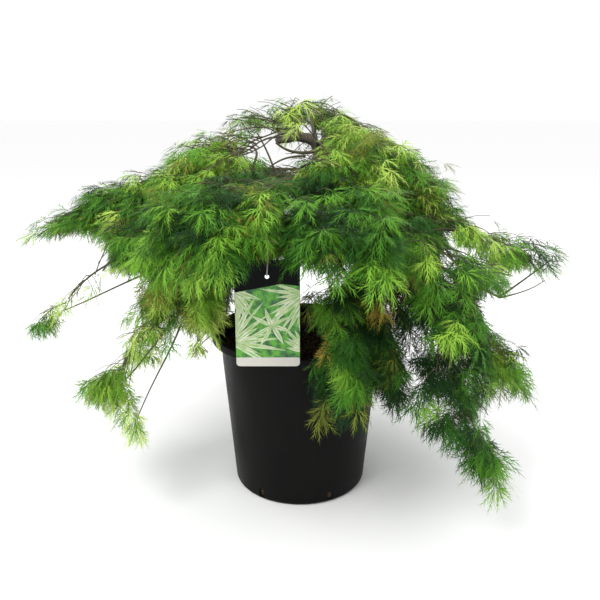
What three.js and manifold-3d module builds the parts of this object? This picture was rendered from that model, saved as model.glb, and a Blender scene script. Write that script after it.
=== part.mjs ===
// A weeping cut-leaf maple in a black nursery pot, with its hanging plant label.
// Millimetres, +Z up. The origin is the middle of the pot's flat underside.
// -Y is the front, the side that the label hangs on, and +X is on the right.
import * as THREE from "three";
import { mergeVertices } from "three/addons/utils/BufferGeometryUtils.js";
import Module from "manifold-3d";

const wasm = await Module();
wasm.setup();

// ---------------------------------------------------------------- driving dimensions
const GAP = 0.3; // what two solids that touch keep between them

const POT = {
  height: 256,
  rimRadius: 140,
  rimHeight: 13,
  topRadius: 127, // outside of the wall, just under the rim
  baseRadius: 107,
  baseRounding: 7,
  wall: 2.6,
  floor: 3,
  slots: 6,
  firstSlot: 296, // degrees round from +X
  slotWidth: 9,
  slotHeight: 14,
  slotFoot: 5, // height of a slot's lower edge
  sides: 30,
};

const SOIL = { top: 232, crown: 5 }; // the compost's edge, and how far its middle stands above that

const LABEL = {
  width: 89,
  height: 152,
  thick: 1,
  corner: 5,
  below: 8, // how far its foot hangs below the pot's rim
  front: -143.6, // Y of the face that shows
  hole: 6,
  holeBelowTop: 23,
  tieRadius: 1,
  tieApart: 6.6, // half the distance between the tie's two sides
  tieSteps: 28,
};

const TRUNK = { foot: 14, flare: 8, flareHeight: 17, tip: 6.2, sides: 9, steps: 12 };
const SOIL_TOP = SOIL.top + SOIL.crown;
const TRUNK_PATH = [
  new THREE.Vector3(-30, 8, SOIL_TOP - 12), // its foot is cut off flat on the compost
  new THREE.Vector3(-40, 30, 400),
  new THREE.Vector3(110, 12, 590),
  new THREE.Vector3(-36, 0, 546), // the sawn end of the leader, which bends over to the left
];

const BOUGH = { sides: 5, steps: 4, root: 5.4, tip: 2.5, lift: 0.16 };
const STEM = { steps: 5, tip: 1.1, lift: 0.2 };
const TWIG = { steps: 2, root: 1.5, tip: 0.9, shorter: 0.3, mostFaces: 24 }; // faces that fusing one may add
const LEAF = { lobes: 7, fan: 90, notch: 0.27, sag: 0.15, thick: 1.7, stalk: 15, sunk: 0.7, mostFaces: 14 };
const LEAF_SIZE = { inner: 60, outer: 84, outerFrom: 320 }; // its longest lobe, near the trunk and at this reach
const MOST_FACES = 535; // a mass takes no more leaves past this
const LEAST_SHARED = 0.004; // cubic mm that a leaf or twig has to share with what it grows from

// The tiers of the crown, from the top down.
// spread: how far a mass's side twigs go. twigs: how many it has. rise: how steeply they climb at most.
// droop: how steeply its leaves hang, and swing: how far they turn to either side of straight outwards,
// both in degrees.
const TIERS = {
  cap: { spread: 78, twigs: 4, rise: 0.5, droop: 26, swing: 110 },
  wing: { spread: 84, twigs: 5, rise: 0.4, droop: 36, swing: 60 },
  brow: { spread: 80, twigs: 4, rise: 0.3, droop: 26, swing: 70 },
  hem: { spread: 80, twigs: 4, rise: 0.35, droop: 50, swing: 60 },
  fringe: { spread: 58, twigs: 4, rise: 0.2, droop: 60, swing: 70 },
};

// Each bough with the mass of leaves that hangs from its tip.
// fork: share of the trunk's length at which the bough leaves it.
// bough: compass angle, reach and height of the bough's tip. mass: the same for its stem's far tip.
const LIMBS = [
  { tier: "cap", side: "left", fork: 0.95, bough: [187, 66, 542], mass: [186, 180, 484] },
  { tier: "cap", side: "left-front", fork: 0.9, bough: [224, 60, 550], mass: [216, 190, 488] },
  { tier: "cap", side: "left-back", fork: 0.87, bough: [128, 48, 562], mass: [128, 185, 498] },
  { tier: "cap", side: "back", fork: 0.83, bough: [75, 46, 594], mass: [80, 178, 534] },
  { tier: "cap", side: "right-back", fork: 0.79, bough: [30, 50, 568], mass: [28, 180, 474] },
  { tier: "cap", side: "right", fork: 0.76, bough: [345, 70, 534], mass: [342, 180, 458] },
  { tier: "cap", side: "front", fork: 0.72, bough: [296, 56, 548], mass: [290, 168, 486] },

  { tier: "wing", side: "left", fork: 0.66, bough: [176, 110, 490], mass: [182, 336, 440] },
  { tier: "wing", side: "left-front", fork: 0.62, bough: [214, 100, 482], mass: [214, 308, 392] },
  { tier: "wing", side: "right-front", fork: 0.64, bough: [319, 100, 474], mass: [320, 300, 366] },
  { tier: "wing", side: "right", fork: 0.66, bough: [357, 112, 452], mass: [357, 350, 368] },
  { tier: "wing", side: "right-back", fork: 0.63, bough: [36, 105, 482], mass: [36, 322, 374] },
  { tier: "wing", side: "back-right", fork: 0.6, bough: [71, 95, 498], mass: [71, 315, 382] },
  { tier: "wing", side: "back-left", fork: 0.6, bough: [109, 95, 490], mass: [110, 315, 386] },
  { tier: "wing", side: "left-back", fork: 0.64, bough: [145, 95, 498], mass: [147, 322, 398] },
  { tier: "brow", side: "left", fork: 0.56, bough: [252.6, 172, 498], mass: [246, 272, 462] },
  { tier: "brow", side: "right", fork: 0.6, bough: [286, 100, 500], mass: [282, 262, 452] },

  { tier: "hem", side: "left", fork: 0.5, bough: [183, 165, 416], mass: [184, 358, 312] },
  { tier: "hem", side: "left-front", fork: 0.44, bough: [203, 145, 384], mass: [200, 294, 192] },
  { tier: "hem", side: "right-front", fork: 0.47, bough: [322, 140, 380], mass: [323, 304, 188] },
  { tier: "hem", side: "right", fork: 0.52, bough: [343, 165, 392], mass: [346, 288, 258] },
  { tier: "hem", side: "right-back", fork: 0.5, bough: [22, 155, 392], mass: [24, 312, 238] },
  { tier: "hem", side: "back-right", fork: 0.47, bough: [58, 135, 394], mass: [58, 302, 244] },
  { tier: "hem", side: "back", fork: 0.46, bough: [94, 135, 410], mass: [95, 285, 352] },
  { tier: "hem", side: "back-left", fork: 0.48, bough: [136, 140, 402], mass: [137, 307, 252] },
  { tier: "fringe", side: "left", fork: 0.42, bough: [231, 130, 386], mass: [237, 190, 300] },
  { tier: "fringe", side: "right", fork: 0.42, bough: [297, 125, 384], mass: [296, 188, 262] },
];

// ---------------------------------------------------------------- small helpers
const UP = new THREE.Vector3(0, 0, 1);
const radians = THREE.MathUtils.degToRad;

// A repeatable source of numbers from 0 to 1.
function seeded(seed) {
  let state = seed >>> 0;
  return () => {
    state = (state + 0x6d2b79f5) >>> 0;
    let t = Math.imul(state ^ (state >>> 15), 1 | state);
    t = (t + Math.imul(t ^ (t >>> 7), 61 | t)) ^ t;
    return ((t ^ (t >>> 14)) >>> 0) / 4294967296;
  };
}

function polar([angle, reach, height]) {
  return new THREE.Vector3(reach * Math.cos(radians(angle)), reach * Math.sin(radians(angle)), height);
}

function solidFrom(geometry) {
  const bare = geometry.clone();
  for (const name of Object.keys(bare.attributes)) if (name !== "position") bare.deleteAttribute(name);
  const merged = mergeVertices(bare, 1e-3);
  const mesh = new wasm.Mesh({
    numProp: 3,
    vertProperties: merged.attributes.position.array,
    triVerts: new Uint32Array(merged.index.array),
  });
  return new wasm.Manifold(mesh);
}

function geometryFrom(solid) {
  const mesh = solid.getMesh();
  const geometry = new THREE.BufferGeometry();
  geometry.setAttribute("position", new THREE.BufferAttribute(mesh.vertProperties, 3));
  geometry.setIndex(new THREE.BufferAttribute(mesh.triVerts, 1));
  geometry.computeVertexNormals();
  return geometry;
}

// A tapering round limb: a cylinder whose rings are set along the curve.
function limbGeometry(curve, radiusAt, sides, steps) {
  const geometry = new THREE.CylinderGeometry(1, 1, 1, sides, steps);
  const frames = curve.computeFrenetFrames(steps, false);
  const position = geometry.attributes.position;
  for (let i = 0; i < position.count; i++) {
    const ring = Math.round((position.getY(i) + 0.5) * steps);
    const share = ring / steps;
    const radius = radiusAt(share);
    const point = curve
      .getPointAt(share)
      .addScaledVector(frames.binormals[ring], position.getX(i) * radius)
      .addScaledVector(frames.normals[ring], position.getZ(i) * radius);
    position.setXYZ(i, point.x, point.y, point.z);
  }
  return geometry;
}

const taper = (from, to) => (share) => THREE.MathUtils.lerp(from, to, share);

// Points along a curve, for measuring how near something comes to it.
const sampled = (curve, count) => Array.from({ length: count + 1 }, (_, i) => curve.getPointAt(i / count));

function distanceToPath(point, path) {
  let nearest = Infinity;
  const segment = new THREE.Line3();
  const closest = new THREE.Vector3();
  for (let i = 1; i < path.length; i++) {
    segment.set(path[i - 1], path[i]).closestPointToPoint(point, true, closest);
    nearest = Math.min(nearest, closest.distanceTo(point));
  }
  return nearest;
}

// ---------------------------------------------------------------- pot and compost
// Half sections, from the axis outwards and back to it.
function potSection() {
  const { height, rimRadius, rimHeight, topRadius, baseRadius, baseRounding, wall, floor } = POT;
  const ledge = height - rimHeight;
  return [
    [0, 0],
    [baseRadius - baseRounding, 0],
    [baseRadius - baseRounding * 0.3, baseRounding * 0.3],
    [baseRadius, baseRounding],
    [topRadius, ledge - 1.5],
    [rimRadius - 2, ledge],
    [rimRadius, ledge + 2],
    [rimRadius, height - 1],
    [rimRadius - 1.2, height],
    [rimRadius - wall, height - 1],
    [rimRadius - wall - 0.4, ledge + 3.5],
    [topRadius - wall, ledge + 1],
    [baseRadius - wall, floor + baseRounding * 0.6],
    [baseRadius - wall - 3, floor],
    [0, floor],
  ].map(([radius, z]) => new THREE.Vector2(radius, z));
}

// LatheGeometry turns about +Y, so each lathe is stood up on +Z.
const lathe = (section, sides) => new THREE.LatheGeometry(section, sides).rotateX(Math.PI / 2);

function potGeometry() {
  let pot = solidFrom(lathe(potSection(), POT.sides));
  for (let i = 0; i < POT.slots; i++) {
    const angle = radians(POT.firstSlot + (360 / POT.slots) * i);
    const slot = new THREE.BoxGeometry(24, POT.slotWidth, POT.slotHeight)
      .translate(POT.baseRadius, 0, POT.slotFoot + POT.slotHeight / 2)
      .rotateZ(angle);
    pot = pot.subtract(solidFrom(slot));
  }
  return geometryFrom(pot);
}

function soilGeometry() {
  const inside = (z) => {
    const ledge = POT.height - POT.rimHeight;
    const share = (z - POT.baseRounding) / (ledge - 1.5 - POT.baseRounding);
    return THREE.MathUtils.lerp(POT.baseRadius, POT.topRadius, share) - POT.wall - 1;
  };
  const foot = POT.floor + GAP;
  const section = [
    [0, foot],
    [POT.baseRadius - POT.wall - 6, foot],
    [inside(26), 26],
    [inside(SOIL.top), SOIL.top],
    [inside(SOIL.top) - 16, SOIL.top + SOIL.crown - 1],
    [inside(SOIL.top) - 50, SOIL.top + SOIL.crown],
    [0, SOIL.top + SOIL.crown],
  ].map(([radius, z]) => new THREE.Vector2(radius, z));
  return lathe(section, POT.sides);
}

// ---------------------------------------------------------------- trunk and boughs
const trunkCurve = new THREE.CubicBezierCurve3(...TRUNK_PATH);
const trunkLength = trunkCurve.getLength();

function trunkRadius(share) {
  const flare = TRUNK.flare * Math.exp(-(share * trunkLength) / TRUNK.flareHeight);
  return THREE.MathUtils.lerp(TRUNK.foot, TRUNK.tip, share) + flare;
}

// The trunk's solid, grown all round by `extra`. Its foot is cut flat on the compost.
function trunkSolid(extra) {
  const radiusAt = (share) => trunkRadius(share) + extra;
  const whole = solidFrom(limbGeometry(trunkCurve, radiusAt, TRUNK.sides, TRUNK.steps));
  return whole.trimByPlane([0, 0, 1], SOIL_TOP + GAP);
}

// A bough leaves the trunk's middle, climbs a little and arches over to its tip.
function boughCurve({ fork, bough }) {
  const root = trunkCurve.getPointAt(fork);
  const tip = polar(bough);
  const run = tip.clone().sub(root);
  const lift = BOUGH.lift * Math.hypot(run.x, run.y);
  const near = root.clone().addScaledVector(run, 0.3).addScaledVector(UP, lift);
  const far = root.clone().addScaledVector(run, 0.75).addScaledVector(UP, lift);
  return new THREE.CubicBezierCurve3(root, near, far, tip);
}

// A mass's stem grows on from its bough's tip, and arches outwards and down.
function stemCurve(bough, { mass }) {
  const heading = bough.getTangentAt(1);
  const root = bough.getPointAt(1).addScaledVector(heading, GAP);
  const tip = polar(mass);
  const run = tip.clone().sub(root);
  const near = root.clone().addScaledVector(heading, 0.36 * run.length());
  const far = root.clone().addScaledVector(run, 0.66).addScaledVector(UP, STEM.lift * run.length());
  return new THREE.CubicBezierCurve3(root, near, far, tip);
}

const limbs = LIMBS.map((row, index) => {
  const bough = boughCurve(row);
  const stem = stemCurve(bough, row);
  const name = `${row.tier}-${row.side}`;
  return { name, index, tier: TIERS[row.tier], bough, stem, stemPath: sampled(stem, 8) };
});
const boughRadius = taper(BOUGH.root, BOUGH.tip);

function boughSolid({ bough }, extra) {
  return solidFrom(limbGeometry(bough, (share) => boughRadius(share) + extra, BOUGH.sides, BOUGH.steps));
}

// ---------------------------------------------------------------- the space of each mass
const SPACE_MARGIN = 1;

// A mass keeps to the space that is nearer to its own stem than to any other's.
function inOwnSpace(point, own) {
  if (point.z < 15) return false;
  const home = distanceToPath(point, own.stemPath);
  return limbs.every((limb) => limb === own || distanceToPath(point, limb.stemPath) > home + SPACE_MARGIN);
}

// ---------------------------------------------------------------- leaves
// A cut leaf: a fan of narrow lobes round the end of its stalk, thickest in the middle.
// `middle` is where the lobes meet, `ahead` the way the middle lobe points, `face` the upper side.
function leafPoints(root, middle, ahead, face, size) {
  const across = new THREE.Vector3().crossVectors(face, ahead);
  const at = (angle, length, sag) =>
    middle
      .clone()
      .addScaledVector(ahead, Math.cos(angle) * length)
      .addScaledVector(across, Math.sin(angle) * length)
      .addScaledVector(UP, -sag * length);
  const fan = radians(LEAF.fan);
  const step = (2 * fan) / (LEAF.lobes - 1);
  const rim = [root, at(-fan - step * 0.8, size * LEAF.notch * 0.5, 0)];
  for (let i = 0; i < LEAF.lobes; i++) {
    const angle = step * i - fan;
    const last = i === LEAF.lobes - 1;
    rim.push(at(angle, size * (1 - 0.4 * Math.abs(angle / fan) ** 1.5), LEAF.sag));
    rim.push(at(angle + step * (last ? 0.8 : 0.5), size * LEAF.notch * (last ? 0.5 : 1), 0));
  }
  const top = middle.clone().addScaledVector(face, LEAF.thick / 2);
  const under = middle.clone().addScaledVector(face, -LEAF.thick / 2);
  return { rim, top, under };
}

function leafSolid({ rim, top, under }) {
  const faces = rim.flatMap((_, i) => {
    const next = (i + 1) % rim.length;
    return [i, next, rim.length, next, i, rim.length + 1];
  });
  const geometry = new THREE.BufferGeometry().setFromPoints([...rim, top, under]);
  geometry.setIndex(faces);
  return solidFrom(geometry);
}

// ---------------------------------------------------------------- masses of leaves
const boxed = (solid) => ({ solid, box: solid.boundingBox() });

// Whether a piece keeps the gap from each of the boxed solids in a list.
function isClear(piece, obstacles) {
  const { min, max } = piece.boundingBox();
  return obstacles.every(({ solid, box }) => {
    const apart = [0, 1, 2].some((i) => min[i] > box.max[i] + GAP || box.min[i] > max[i] + GAP);
    return apart || piece.minGap(solid, 2 * GAP) > GAP * 0.99;
  });
}

// Fuses a piece on where its root alone meets the mass, and returns whether it did.
function fuse(mass, piece, obstacles, most) {
  if (!isClear(piece, obstacles)) return false;
  const joined = mass.solid.add(piece);
  const grown = joined.numTri() - mass.solid.numTri() - piece.numTri();
  const shared = mass.solid.volume() + piece.volume() - joined.volume();
  if (grown > most || shared < LEAST_SHARED || joined.decompose().length !== 1) return false;
  mass.solid = joined;
  return true;
}

// Side twigs leave the stem on alternate sides, go out with it and droop.
function growTwigs(mass, obstacles) {
  const { limb, random, vary } = mass;
  const { stem, tier } = limb;
  for (let i = 0; i < tier.twigs; i++) {
    const share = 0.06 + (0.8 * i) / tier.twigs;
    const root = stem.getPointAt(share);
    const heading = stem.getTangentAt(share);
    const side = new THREE.Vector3().crossVectors(UP, heading).normalize();
    side.multiplyScalar(i % 2 ? -1 : 1);
    for (let attempt = 0; attempt < 5; attempt++) {
      const length = tier.spread * (1 - TWIG.shorter * share) * vary(0.12) * (1 - 0.15 * attempt);
      const away = heading.clone().multiplyScalar(0.45 + 0.3 * random()).add(side);
      away.addScaledVector(UP, tier.rise * (1.5 * random() - 0.5) * (1 - share)).normalize();
      const sink = 0.006 * tier.droop * length;
      const middle = root.clone().addScaledVector(away, length * 0.55).addScaledVector(UP, 0.05 * length);
      const tip = root.clone().addScaledVector(away, length).addScaledVector(UP, -sink);
      const curve = new THREE.QuadraticBezierCurve3(root, middle, tip);
      const within = [0.4, 0.7, 1].every((t) => inOwnSpace(curve.getPoint(t), limb));
      const twig = solidFrom(limbGeometry(curve, taper(TWIG.root, TWIG.tip), 3, TWIG.steps));
      if (within && fuse(mass, twig, obstacles, TWIG.mostFaces)) {
        mass.shoots.push(curve);
        break;
      }
    }
  }
}

// Tries a leaf at a point of a shoot, turned another way each time until it is clear.
function growLeaf(mass, obstacles, shoot, share, size) {
  const { limb, random, vary } = mass;
  const root = shoot.getPointAt(share);
  const out = new THREE.Vector3(root.x, root.y, 0).normalize();
  const along = shoot.getTangentAt(share).setZ(0);
  const level = out.clone().multiplyScalar(0.9).add(along).normalize();
  for (let attempt = 0; attempt < 12; attempt++) {
    const droop = radians(limb.tier.droop + 16 * (2 * random() - 1));
    const turn = radians(limb.tier.swing) * (2 * random() - 1) * (share > 0.9 && attempt < 3 ? 0.35 : 1);
    const flat = level.clone().applyAxisAngle(UP, turn);
    const ahead = flat.clone().multiplyScalar(Math.cos(droop)).addScaledVector(UP, -Math.sin(droop));
    const face = flat.clone().multiplyScalar(Math.sin(droop)).addScaledVector(UP, Math.cos(droop));
    face.applyAxisAngle(ahead, 0.9 * (random() - 0.5));
    const stalk = ahead.clone().multiplyScalar(0.8).addScaledVector(face, 0.5).normalize();
    const middle = root.clone().addScaledVector(stalk, LEAF.stalk * vary(0.3));
    const sunk = root.clone().addScaledVector(stalk, -LEAF.sunk);
    const points = leafPoints(sunk, middle, ahead, face, size * (1 - 0.03 * attempt));
    const tests = points.rim.slice(1).flatMap((point) => [point, point.clone().lerp(middle, 0.5)]);
    const within = tests.every((point) => inOwnSpace(point, limb));
    if (within && fuse(mass, leafSolid(points), obstacles, LEAF.mostFaces)) return;
  }
}

// A leaf at each shoot's tip first, then at middles, then wherever there is room.
function growLeaves(mass, obstacles) {
  const { shoots, random, vary } = mass;
  const sites = [0.985, 0.5, 0.75].flatMap((share) => shoots.map((shoot) => [shoot, share]));
  for (let i = 0; i < 70; i++) {
    sites.push([shoots[Math.floor(random() * shoots.length)], 0.05 + 0.93 * random()]);
  }
  for (const [shoot, share] of sites) {
    if (mass.solid.numTri() > MOST_FACES) break;
    const { x, y } = shoot.getPointAt(share);
    const outward = Math.min(1, Math.hypot(x, y) / LEAF_SIZE.outerFrom);
    const size = THREE.MathUtils.lerp(LEAF_SIZE.inner, LEAF_SIZE.outer, outward) * vary(0.12);
    growLeaf(mass, obstacles, shoot, share, size);
  }
}

function seedMass(limb) {
  const random = seeded(7919 * (limb.index + 1));
  const vary = (amount) => 1 + amount * (2 * random() - 1);
  const solid = solidFrom(limbGeometry(limb.stem, taper(BOUGH.tip, STEM.tip), 3, STEM.steps));
  return { limb, random, vary, solid, shoots: [limb.stem] };
}

// ---------------------------------------------------------------- label and its tie
// The tie hangs from the point of its bough that is over the card.
const carrier = limbs.find((limb) => limb.name === "brow-left").bough;
const hangShare = (() => {
  const offset = (share) => Math.abs(carrier.getPointAt(share).y - LABEL.front - LABEL.thick / 2);
  const shares = Array.from({ length: 401 }, (_, i) => i / 400);
  return shares.reduce((best, share) => (offset(share) < offset(best) ? share : best));
})();
const hangFrom = carrier.getPointAt(hangShare);
const labelTop = POT.height - LABEL.below + LABEL.height;

function labelGeometry() {
  const { width, height, corner, thick, hole, holeBelowTop } = LABEL;
  const half = width / 2;
  const card = new THREE.Shape();
  card.moveTo(-half + corner, 0);
  card.lineTo(half - corner, 0);
  card.quadraticCurveTo(half, 0, half, corner);
  card.lineTo(half, height - corner);
  card.quadraticCurveTo(half, height, half - corner, height);
  card.lineTo(-half + corner, height);
  card.quadraticCurveTo(-half, height, -half, height - corner);
  card.lineTo(-half, corner);
  card.quadraticCurveTo(-half, 0, -half + corner, 0);
  const eye = new THREE.Path().absarc(0, height - holeBelowTop, hole / 2, 0, Math.PI * 2, true);
  card.holes.push(eye);
  const geometry = new THREE.ExtrudeGeometry(card, { depth: thick, bevelEnabled: false, curveSegments: 6 });
  return geometry.rotateX(Math.PI / 2).translate(hangFrom.x, LABEL.front + thick, labelTop - height);
}

// The tie is one closed loop: over the bough at its top, and through the card's eye at its foot.
// Its two sides stand apart along X at the top, and turn to stand apart along Y at the foot.
function tieGeometry(top) {
  const { tieRadius, tieApart, tieSteps, thick, front } = LABEL;
  const foot = labelTop - LABEL.holeBelowTop + LABEL.hole / 2 - GAP - tieRadius;
  const loop = 10; // any radius does: only the angle round the ring is read
  const geometry = new THREE.TorusGeometry(loop, tieRadius, 4, tieSteps);
  const turnAt = (angle) => ((1 - Math.sin(angle)) / 2) * (Math.PI / 2);
  const centre = (angle) => {
    const height = Math.sin(angle);
    const rounding = Math.min(1, (1 - Math.abs(height)) * 7);
    const apart = tieApart * Math.sqrt(1 - (1 - rounding) ** 2) * Math.sign(Math.cos(angle) || 1);
    const x = hangFrom.x + apart * Math.cos(turnAt(angle));
    const y = front + thick / 2 - apart * Math.sin(turnAt(angle));
    return new THREE.Vector3(x, y, THREE.MathUtils.lerp(foot, top, (height + 1) / 2));
  };
  const position = geometry.attributes.position;
  for (let i = 0; i < position.count; i++) {
    const [x, y, z] = [position.getX(i), position.getY(i), position.getZ(i)];
    const step = Math.round((Math.atan2(y, x) / (2 * Math.PI)) * tieSteps);
    const angle = (step / tieSteps) * 2 * Math.PI;
    const along = centre(angle + 0.02).sub(centre(angle - 0.02)).normalize();
    const flat = new THREE.Vector3(Math.sin(turnAt(angle)), Math.cos(turnAt(angle)), 0);
    const outward = new THREE.Vector3().crossVectors(along, flat).normalize();
    const sideward = new THREE.Vector3().crossVectors(outward, along);
    const point = centre(angle).addScaledVector(outward, Math.hypot(x, y) - loop).addScaledVector(sideward, z);
    position.setXYZ(i, point.x, point.y, point.z);
  }
  return geometry;
}

// The tie's top is let down until it lies on the bough.
function seatedTie(bough) {
  let top = hangFrom.z + 3 * BOUGH.root;
  let tie = solidFrom(tieGeometry(top));
  for (let gap = tie.minGap(bough, top); gap > 1.5 * GAP; gap = tie.minGap(bough, top)) {
    top -= gap - GAP;
    tie = solidFrom(tieGeometry(top));
  }
  return tie;
}

// ---------------------------------------------------------------- assembly
const FINISH = {
  pot: new THREE.MeshStandardMaterial({ color: "#1c1c1b", roughness: 0.5 }),
  soil: new THREE.MeshStandardMaterial({ color: "#3a2315", roughness: 1 }),
  bark: new THREE.MeshStandardMaterial({ color: "#5d5347", roughness: 0.85 }),
  leaf: new THREE.MeshStandardMaterial({ color: "#3f8a26", roughness: 0.55 }),
  card: new THREE.MeshStandardMaterial({ color: "#dfe6d2", roughness: 0.35 }),
  tie: new THREE.MeshStandardMaterial({ color: "#bdbdb4", roughness: 0.5 }),
};

const plant = new THREE.Group();
const place = (name, geometry, finish) => {
  const mesh = new THREE.Mesh(geometry, finish);
  mesh.name = name;
  plant.add(mesh);
};

const fixed = {
  pot: [solidFrom(potGeometry()), FINISH.pot],
  soil: [solidFrom(soilGeometry()), FINISH.soil],
  "label-card": [solidFrom(labelGeometry()), FINISH.card],
  trunk: [trunkSolid(0), FINISH.bark],
};

// Each bough's root is cut to fit round the trunk, and round any bough that passes it there.
const grown = [trunkSolid(GAP)];
for (const limb of limbs) {
  const cut = grown.reduce((solid, other) => solid.subtract(other), boughSolid(limb, 0));
  const [largest] = cut.decompose().sort((a, b) => b.volume() - a.volume());
  fixed[`bough-${limb.name}`] = [largest, FINISH.bark];
  grown.push(boughSolid(limb, GAP));
}

fixed["label-tie"] = [seatedTie(fixed["bough-brow-left"][0]), FINISH.tie];

const obstacles = Object.values(fixed).map(([solid]) => boxed(solid));
const masses = limbs.map(seedMass);
const others = (mass) => {
  const rest = masses.filter((other) => other !== mass);
  return [...obstacles, ...rest.map(({ solid }) => boxed(solid))];
};
for (const mass of masses) growTwigs(mass, others(mass));
for (const mass of masses) growLeaves(mass, others(mass));

for (const [name, [solid, finish]] of Object.entries(fixed)) place(name, geometryFrom(solid), finish);
for (const { limb, solid } of masses) place(`leaves-${limb.name}`, geometryFrom(solid), FINISH.leaf);

export default plant;
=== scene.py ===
import math
import random

import bmesh
import bpy
import numpy as np
from mathutils import Matrix, Vector, noise


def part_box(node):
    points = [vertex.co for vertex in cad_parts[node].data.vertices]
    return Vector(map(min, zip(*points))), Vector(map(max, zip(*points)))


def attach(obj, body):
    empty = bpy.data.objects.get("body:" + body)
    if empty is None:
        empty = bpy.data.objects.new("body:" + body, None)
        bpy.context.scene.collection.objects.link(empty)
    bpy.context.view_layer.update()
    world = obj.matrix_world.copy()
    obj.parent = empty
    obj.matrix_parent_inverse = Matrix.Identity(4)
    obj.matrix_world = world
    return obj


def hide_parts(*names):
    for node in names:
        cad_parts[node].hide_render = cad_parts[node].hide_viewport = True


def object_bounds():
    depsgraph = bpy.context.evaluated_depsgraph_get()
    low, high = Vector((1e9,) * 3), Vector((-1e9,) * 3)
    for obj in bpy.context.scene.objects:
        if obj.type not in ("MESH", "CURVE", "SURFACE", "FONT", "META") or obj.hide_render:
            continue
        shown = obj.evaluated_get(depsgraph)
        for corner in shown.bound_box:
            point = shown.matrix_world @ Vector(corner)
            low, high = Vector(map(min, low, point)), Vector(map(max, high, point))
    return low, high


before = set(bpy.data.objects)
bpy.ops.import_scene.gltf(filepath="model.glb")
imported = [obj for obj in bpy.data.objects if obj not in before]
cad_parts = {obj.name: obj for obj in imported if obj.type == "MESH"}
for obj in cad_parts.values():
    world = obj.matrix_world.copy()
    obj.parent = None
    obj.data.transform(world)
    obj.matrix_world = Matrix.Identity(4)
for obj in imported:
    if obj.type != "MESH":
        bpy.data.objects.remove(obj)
cadBox = [list(corner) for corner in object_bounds()]
mm = 0.001
up = Vector((0, 0, 1))


class Wire:  # a shader socket that can stand in a Python expression
    def __init__(self, finish, socket):
        self.finish = finish
        self.socket = socket

    def math(self, operation, other):
        return self.finish.add("ShaderNodeMath", {"operation": operation}, {0: self, 1: other})

    def __add__(self, other): return self.math("ADD", other)
    def __mul__(self, other): return self.math("MULTIPLY", other)

    __radd__ = __add__
    __rmul__ = __mul__


class Finish:  # one material: a Principled shader with plain values, and the nodes that vary it
    def __init__(self, name, **plain):
        self.material = bpy.data.materials.new(name)
        self.material.use_nodes = True
        self.nodes = self.material.node_tree.nodes
        self.links = self.material.node_tree.links
        self.shader = self.nodes["Principled BSDF"]
        for socket, value in plain.items():
            self.shader.inputs[socket.replace("_", " ")].default_value = value

    def add(self, kind, settings, sockets, output=0):
        node = self.nodes.new(kind)
        for name, value in settings.items():
            if name == "stops":  # a colour ramp's stops: {place: colour}
                ramp = node.color_ramp
                while len(ramp.elements) < len(value):
                    ramp.elements.new(0.5)
                for element, (place, colour) in zip(ramp.elements, sorted(value.items())):
                    element.position = place
                    element.color = (*colour, 1)
            else:
                setattr(node, name, value)
        for name, value in sockets.items():
            self.join(value, node.inputs[name])
        return Wire(self, node.outputs[output])

    def join(self, value, socket):
        if isinstance(value, Wire):
            self.links.new(value.socket, socket)
        else:
            socket.default_value = value

    def place(self, scale):  # the point on the piece, in metres, stretched
        point = self.add("ShaderNodeTexCoord", {}, {}, "Object")
        return self.add("ShaderNodeVectorMath", {"operation": "MULTIPLY"}, {0: point, 1: scale})

    def grain(self, size, detail=4, roughness=0.55, stretch=(1, 1, 1)):  # noise; size of its spots in metres
        sockets = {"Vector": self.place(stretch), "Scale": 1 / size, "Detail": detail, "Roughness": roughness}
        return self.add("ShaderNodeTexNoise", {}, sockets)

    def between(self, share, low, high):  # a colour between two others, by the Mix node's colour sockets
        low, high = [side if isinstance(side, Wire) else (*side, 1) for side in (low, high)]
        return self.add("ShaderNodeMix", {"data_type": "RGBA"}, {0: share, 6: low, 7: high}, 2)

    def ramp(self, value, stops):
        return self.add("ShaderNodeValToRGB", {"stops": stops}, {0: value})

    def spread(self, value, low, high):  # a number's place in a range, from 0 to 1
        return self.add("ShaderNodeMapRange", {}, {0: value, 1: low, 2: high})

    def colour(self, value): self.join(value, self.shader.inputs["Base Color"])
    def rough(self, value): self.join(value, self.shader.inputs["Roughness"])

    def relief(self, height, depth, strength):
        bump = self.add("ShaderNodeBump", {}, {"Height": height, "Distance": depth, "Strength": strength})
        self.join(bump, self.shader.inputs["Normal"])


cameraSet = {"stand": (0, -1.0, 0.595), "pitch": 16.3, "focusInPixels": 659, "imageWidth": 600, "sensor": 36}


def placeCamera():
    data = bpy.data.cameras.new("camera")
    data.sensor_width = cameraSet["sensor"]
    data.lens = cameraSet["focusInPixels"] * data.sensor_width / cameraSet["imageWidth"]
    camera = link("camera", data)
    camera.location = cameraSet["stand"]
    camera.rotation_euler = (math.radians(90 - cameraSet["pitch"]), 0, 0)
    bpy.context.scene.camera = camera


lightSet = {
    "sky": 1.0, "aim": (0, 0, 0.35),
    "lamps": {
        "key": {"at": (-1.1, -1.5, 2.3), "size": 1.1, "watts": 46},
        "fill": {"at": (1.5, -1.2, 1.4), "size": 1.8, "watts": 8},
        "back": {"at": (0.4, 1.8, 1.9), "size": 1.8, "watts": 15},
    },
}


def placeLights():
    world = bpy.data.worlds.new("studio")
    world.use_nodes = True
    sky = world.node_tree.nodes["Background"].inputs
    sky["Color"].default_value = (1, 1, 1, 1)
    sky["Strength"].default_value = lightSet["sky"]
    bpy.context.scene.world = world
    for name, own in lightSet["lamps"].items():
        data = bpy.data.lights.new(name, "AREA")
        data.size = own["size"]
        data.energy = own["watts"]
        lamp = link(name, data)
        lamp.location = own["at"]
        lamp.rotation_euler = (Vector(own["at"]) - Vector(lightSet["aim"])).to_track_quat("Z", "Y").to_euler()
    bpy.context.scene.view_settings.view_transform = "Standard"


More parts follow.
